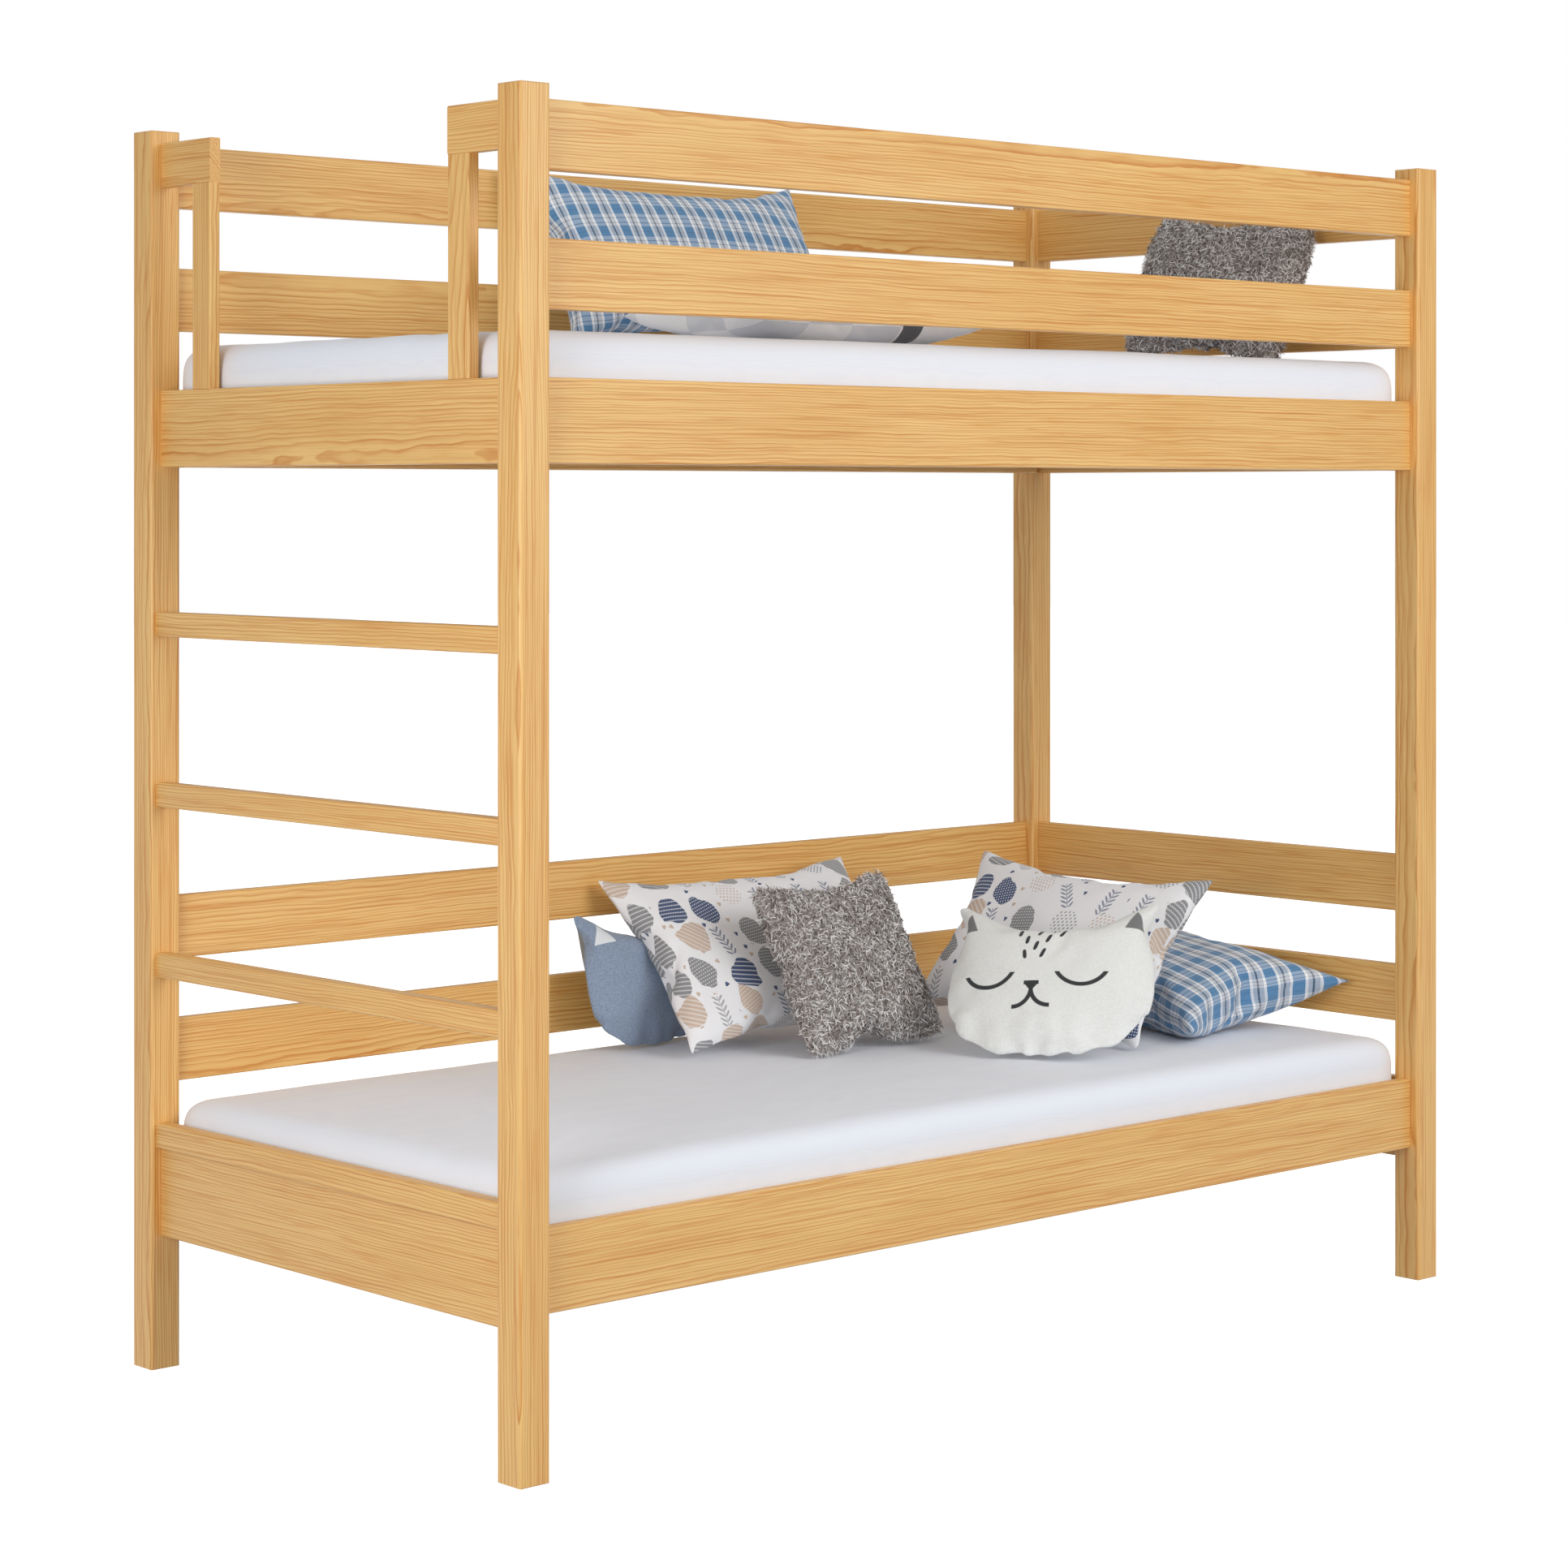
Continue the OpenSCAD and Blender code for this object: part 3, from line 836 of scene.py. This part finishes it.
# turn, lean and roll in degrees: about the upright, back from upright, and in its own plane
cushions = {
    "plaidPillowUpper": {
        "node": "plaid_pillow_upper", "size": (0.676, 0.372, 0.120), "pose": (0, 30, 0),
        "fabric": "plaid", "push": 4.0,
    },
    "checkPillowUpper": {
        "node": "check_pillow_upper", "size": (0.560, 0.360, 0.110), "pose": (-4, 90, 0),
        "fabric": "check", "push": 3.5,
    },
    "furCushionUpper": {
        "node": "fur_cushion_upper", "size": (0.350, 0.280, 0.086), "pose": (-79, 22, -4),
        "fabric": "fur", "push": 3.5, "bow": 0.16,
    },
    "earCushionBlue": {
        "node": "ear_cushion_blue", "size": (0.330, 0.258, 0.084), "pose": (8, 14, 4),
        "fabric": "denim", "push": 3.5, "ears": True,
    },
    "printPillowLeft": {
        "node": "print_pillow_left", "size": (0.592, 0.388, 0.100), "pose": (-2, 43, 1),
        "fabric": "print", "push": 3.5,
    },
    "furCushionLower": {
        "node": "fur_cushion_lower", "size": (0.330, 0.312, 0.084), "pose": (1, 28, 2),
        "fabric": "fur", "push": 3.5, "bow": 0.12,
    },
    "printPillowRight": {
        "node": "print_pillow_right", "size": (0.528, 0.366, 0.100), "pose": (-81, 39, -3),
        "fabric": "print", "push": 3.5,
    },
    "faceCushionLinen": {
        "node": "face_cushion_linen", "size": (0.370, 0.312, 0.096), "pose": (-60, 40, 4),
        "fabric": "linen", "push": 3.5, "ears": True,
    },
    "plaidPillowLower": {
        "node": "plaid_pillow_lower", "size": (0.378, 0.430, 0.140), "pose": (-56, 79, 53),
        "fabric": "plaid", "push": 5.0, "pulls": ((1, -1, (0.006, -0.044, 0.014)),),
    },
}
sewing = {
    "cell": 0.0125,
    "seam": 0.005,
    "frames": 12,
    "swell": 0.08,
    "earCell": 0.009,
}


def earedEdge(size):  # how far outside the outline a flat point lies: a round head with two ears
    width, height = size[0] / 2, size[1] / 2
    bodyHigh = height * 0.85
    bodyDrop = bodyHigh - height
    cheek = width - 0.0045
    tip = Vector((width - 0.0065, height - 0.004))
    inner = Vector((width * 0.26, bodyDrop + bodyHigh * 0.98))
    outer = Vector((cheek - 0.022, bodyDrop - bodyHigh * 0.15))
    sides = []
    for start, end in ((tip, inner), (inner, outer), (outer, tip)):
        line = (end - start).normalized()
        sides.append((start, Vector((line.y, -line.x))))
    blend = 0.022

    def outside(x, y):
        across, up = x / cheek, (y - bodyDrop) / bodyHigh
        fullness = 2.3 if up < 0 else 3.2
        away = (abs(across) ** fullness + abs(up) ** fullness) ** (1 / fullness)
        away = (away - 1) * bodyHigh
        here = Vector((abs(x), y))
        ear = max((here - start).dot(outward) for start, outward in sides)
        mixed = min(max(0.5 + (ear - away) / (2 * blend), 0), 1)
        return ear * (1 - mixed) + away * mixed - blend * mixed * (1 - mixed)

    return outside


def flatShell(name, look):  # front and back cut to size and sewn together all round
    width, height, depth = look["size"]
    cell = sewing["earCell"] if look.get("ears") else sewing["cell"]
    mesh = bmesh.new()
    mesh.loops.layers.uv.new("cloth")
    bmesh.ops.create_grid(
        mesh, x_segments=int(width / cell), y_segments=int(height / cell), size=0.5, calc_uvs=True
    )
    bmesh.ops.scale(mesh, vec=(width, height, 1), verts=mesh.verts)
    if look.get("ears"):
        outside = earedEdge(look["size"])
        beyond = [vert for vert in mesh.verts if outside(vert.co.x, vert.co.y) > cell * 0.35]
        bmesh.ops.delete(mesh, geom=beyond, context="VERTS")
        loose = [vert for vert in mesh.verts if len(vert.link_faces) == 0]
        bmesh.ops.delete(mesh, geom=loose, context="VERTS")
        rim = [vert for vert in mesh.verts if vert.is_boundary]
        for again in range(4):  # the rim settles on the outline
            for vert in rim:
                x, y = vert.co.x, vert.co.y
                away = outside(x, y)
                step = 0.0005
                slope = Vector((outside(x + step, y) - away, outside(x, y + step) - away, 0)) / step
                vert.co -= slope * away / max(slope.length_squared, 0.2)
        inner = [vert for vert in mesh.verts if not vert.is_boundary]
        for again in range(3):
            bmesh.ops.smooth_vert(mesh, verts=inner, factor=0.5, use_axis_x=True, use_axis_y=True)
    bow = look.get("bow", 0)
    for vert in mesh.verts:
        x, y = vert.co.x / width * 2, vert.co.y / height * 2
        vert.co.x *= 1 + bow * (1 - y * y)
        vert.co.y *= 1 + bow * (1 - x * x)
    grown = bmesh.ops.extrude_face_region(mesh, geom=mesh.faces[:], use_keep_orig=True)
    front = [item for item in grown["geom"] if isinstance(item, bmesh.types.BMVert)]
    bmesh.ops.translate(mesh, vec=(0, 0, sewing["seam"]), verts=front)
    bmesh.ops.recalc_face_normals(mesh, faces=mesh.faces)
    mesh.normal_update()
    for face in mesh.faces:
        face.material_index = 1 if face.normal.z < -0.5 and look.get("ears") else 0
        for loop in face.loops:
            loop[mesh.loops.layers.uv.active].uv = (
                loop.vert.co.x / width + 0.5, loop.vert.co.y / height + 0.5
            )
    data = bpy.data.meshes.new(name)
    mesh.to_mesh(data)
    mesh.free()
    piece = bpy.data.objects.new(name, data)
    bpy.context.scene.collection.objects.link(piece)
    return piece


def stuff(pieces):  # every shell is blown up at once by the cloth solver
    for name, piece in pieces.items():
        cloth = piece.modifiers.new("stuffing", "CLOTH")
        cloth.settings.quality = 6
        cloth.settings.use_pressure = True
        cloth.settings.uniform_pressure_force = cushions[name]["push"]
        cloth.settings.effector_weights.gravity = 0
        cloth.settings.shrink_min = -sewing["swell"]
        cloth.collision_settings.use_collision = False
        cloth.point_cache.frame_start = 1
        cloth.point_cache.frame_end = sewing["frames"]
    scene = bpy.context.scene
    for number in range(1, sewing["frames"] + 1):
        scene.frame_set(number)
    graph = bpy.context.evaluated_depsgraph_get()
    for piece in pieces.values():
        puffed = bpy.data.meshes.new_from_object(piece.evaluated_get(graph))
        piece.modifiers.clear()
        piece.data = puffed
    scene.frame_set(1)


def fitToSize(piece, size):
    corners = [vert.co for vert in piece.data.vertices]
    for axis in range(3):
        low = min(corner[axis] for corner in corners)
        high = max(corner[axis] for corner in corners)
        for vert in piece.data.vertices:
            vert.co[axis] = (vert.co[axis] - (low + high) / 2) * size[axis] / (high - low)


def crumple(piece, look, seed):  # soft creases, and pleats along an eared cushion's lower seam
    width, height, depth = look["size"]
    outside = earedEdge(look["size"]) if look.get("ears") else None
    piece.data.update()
    shifts = []
    for vert in piece.data.vertices:
        x, y, z = vert.co
        rim = max(abs(x) / width, abs(y) / height) * 2
        bend = noise.noise(Vector((x * 9, y * 9, seed))) * 0.0035
        crease = 1 - abs(noise.noise(Vector((x * 22, y * 22, seed + 4)))) * 4
        bend += max(crease, 0) * -0.0022 * min(rim + 0.2, 1)
        if outside:
            nearRim = math.exp(outside(x, y) / 0.035)
            low = min(max((-y - 0.03) / 0.06, 0), 1)
            pleat = math.sin(x * 2 * math.pi / 0.052 + math.sin(x * 31) * 1.2)
            bend = bend * 0.5 + pleat * 0.0030 * nearRim * low
        shifts.append(vert.normal * bend)
    for vert, shift in zip(piece.data.vertices, shifts):
        vert.co += shift


def drag(piece, size, pulls):  # a corner drawn out of its plain place, with its surroundings
    for sideX, sideY, move in pulls:
        for vert in piece.data.vertices:
            nearX = max(vert.co.x / size[0] * 2 * sideX, 0)
            nearY = max(vert.co.y / size[1] * 2 * sideY, 0)
            vert.co += Vector(move) * (nearX * nearY) ** 1.6


def poseOf(turn, lean, roll):
    stand = Matrix.Rotation(math.radians(90 - lean), 4, "X")
    spin = Matrix.Rotation(math.radians(roll), 4, "Z")
    return Matrix.Rotation(math.radians(turn), 4, "Z") @ stand @ spin


def placeOf(piece, look):  # the cushion's middle goes to the middle of its CAD solid
    pose = poseOf(*look["pose"])
    corners = [pose @ vert.co for vert in piece.data.vertices]
    shift = middleOf(look["node"])
    for axis in range(3):
        low = min(corner[axis] for corner in corners)
        high = max(corner[axis] for corner in corners)
        shift[axis] -= (low + high) / 2
    return Matrix.Translation(shift) @ pose


def treeOf(piece):
    mesh = bmesh.new()
    mesh.from_mesh(piece.data)
    bmesh.ops.remove_doubles(mesh, verts=mesh.verts, dist=0.00001)
    tree = BVHTree.FromBMesh(mesh)
    mesh.free()
    return tree


def pressOff(piece, tree, gap, reach):  # moves points that lie inside another piece out to its face
    for vert in piece.data.vertices:
        near, normal, face, away = tree.find_nearest(vert.co, reach)
        if near is not None and (vert.co - near).dot(normal) < gap:
            vert.co = near + normal * gap


shells = {name: flatShell(name, look) for name, look in cushions.items()}
stuff(shells)
print("cushions stuffed")

finishes = {
    "plaid": lambda name, size: [plaidFinish(name, size, plaid)],
    "check": lambda name, size: [checkFinish(name, size, check)],
    "print": lambda name, size: [printFinish(name, size, prints)],
    "linen": lambda name, size: [
        linenFinish(name + "Front", size, linen, True),
        linenFinish(name + "Back", size, linen, False),
    ],
    "denim": lambda name, size: [
        denimFinish(name + "Front", size, denim["front"], denim["earSpots"], denim),
        denimFinish(name + "Back", size, denim["back"], (), denim),
    ],
    "fur": lambda name, size: [furFinish(name, fur["dark"], fur["light"], False)],
}


def growFur(name, ground, look, seed):
    draw = random.Random(seed)
    graph = bpy.context.evaluated_depsgraph_get()
    base = ground.evaluated_get(graph).to_mesh()
    base.calc_loop_triangles()
    triangles = list(base.loop_triangles)
    areas = [triangle.area for triangle in triangles]
    chosen = draw.choices(triangles, weights=areas, k=look["blades"])
    corners = []
    faces = []
    marks = []
    for triangle in chosen:
        a, b, c = (base.vertices[number].co for number in triangle.vertices)
        first, second = draw.random(), draw.random()
        if first + second > 1:
            first, second = 1 - first, 1 - second
        root = a + (b - a) * first + (c - a) * second
        normal = triangle.normal
        swirl = noise.noise_vector(root * 38) * 0.5 + noise.noise_vector(root * 160) * 0.8
        swirl += Vector((draw.gauss(0, 0.6), draw.gauss(0, 0.6), draw.gauss(0, 0.6) - 0.2))
        flow = swirl - normal * swirl.dot(normal)
        if flow.length < 0.01:
            flow = normal.orthogonal()
        flow.normalize()
        length = look["long"] * draw.uniform(0.6, 1.15)
        across = normal.cross(flow) * look["wide"] / 2
        across = Matrix.Rotation(draw.uniform(-0.9, 0.9), 3, flow) @ across
        lift = draw.uniform(0.45, 0.95)
        tone = draw.choice(look["tones"]) + draw.gauss(0, 0.1) + noise.noise(root * 60) * 0.2
        tone = min(max(tone, 0), 1)
        start = len(corners)
        for share, thick in look["rows"]:
            rise = normal * length * lift * (share - share * share * 0.55)
            along = root + rise + flow * length * (share ** 1.4) * 0.85
            corners.append(along - across * thick)
            corners.append(along + across * thick)
        corners.append(root + normal * length * lift * 0.45 + flow * length * 0.85)
        faces.append((start, start + 1, start + 3, start + 2))
        faces.append((start + 2, start + 3, start + 5, start + 4))
        faces.append((start + 4, start + 5, start + 6))
        marks.append(tone)
    data = bpy.data.meshes.new(name)
    data.from_pydata(corners, [], faces)
    layer = data.uv_layers.new(name="cloth")
    reaches = (0.0, 0.0, 0.45, 0.45, 0.8, 0.8, 1.0)
    for loop in data.loops:
        blade, place = divmod(loop.vertex_index, 7)
        layer.data[loop.index].uv = (marks[blade], reaches[place])
    data.shade_smooth()
    piece = bpy.data.objects.new(name, data)
    bpy.context.scene.collection.objects.link(piece)
    return piece


def bodyOf(node):
    upper = frame["record"]["behaviour"]["bodies"]["upper_bedding"]
    return "upper_bedding" if node in upper else "lower_bedding"


trees = {}
for name, look in cushions.items():
    piece = shells[name]
    for material in finishes[look["fabric"]](name, look["size"]):
        piece.data.materials.append(material)
    fitToSize(piece, look["size"])
    place = placeOf(piece, look)
    crumple(piece, look, len(name))
    drag(piece, look["size"], look.get("pulls", ()))
    piece.data.transform(place)
print("cushions in place")

for name, look in cushions.items():
    piece = shells[name]
    upper = bodyOf(look["node"]) == "upper_bedding"
    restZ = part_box("upper_mattress" if upper else "lower_mattress")[1][2]
    for vert in piece.data.vertices:
        vert.co.z = max(vert.co.z, restZ + 0.0015)
    for other, tree in trees.items():
        pressOff(piece, tree, 0.001, 0.03)
    trees[name] = treeOf(piece)
    piece.data.shade_smooth()
    soften(piece)
    body = bodyOf(look["node"])
    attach(piece, body)
    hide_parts(look["node"])
    if look["fabric"] == "fur":
        blades = growFur(name + "Pile", piece, fur, 7)
        blades.data.materials.append(furFinish(name + "Pile", fur["dark"], fur["light"], True))
        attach(blades, body)
print("cushions finished")


def makeFloor(look):
    mesh = bmesh.new()
    bmesh.ops.create_grid(mesh, x_segments=1, y_segments=1, size=look["floorSize"] / 2)
    paint = Finish("floor", {"Roughness": 0.9})
    cloud = paint.noise(paint.objectPlace(), 3.0)
    tone = look["floorTone"]
    paint.set({
        "Base Color": paint.mix(cloud, tone, tuple(part * 0.99 for part in tone[:3]) + (1,)),
        "Emission Color": (1, 1, 1, 1),
        "Emission Strength": look["floorGlow"],
    })
    floor = showPiece("floor", mesh, [paint.material])
    floor.visible_diffuse = False


makeFloor(studio)
print("floor made")
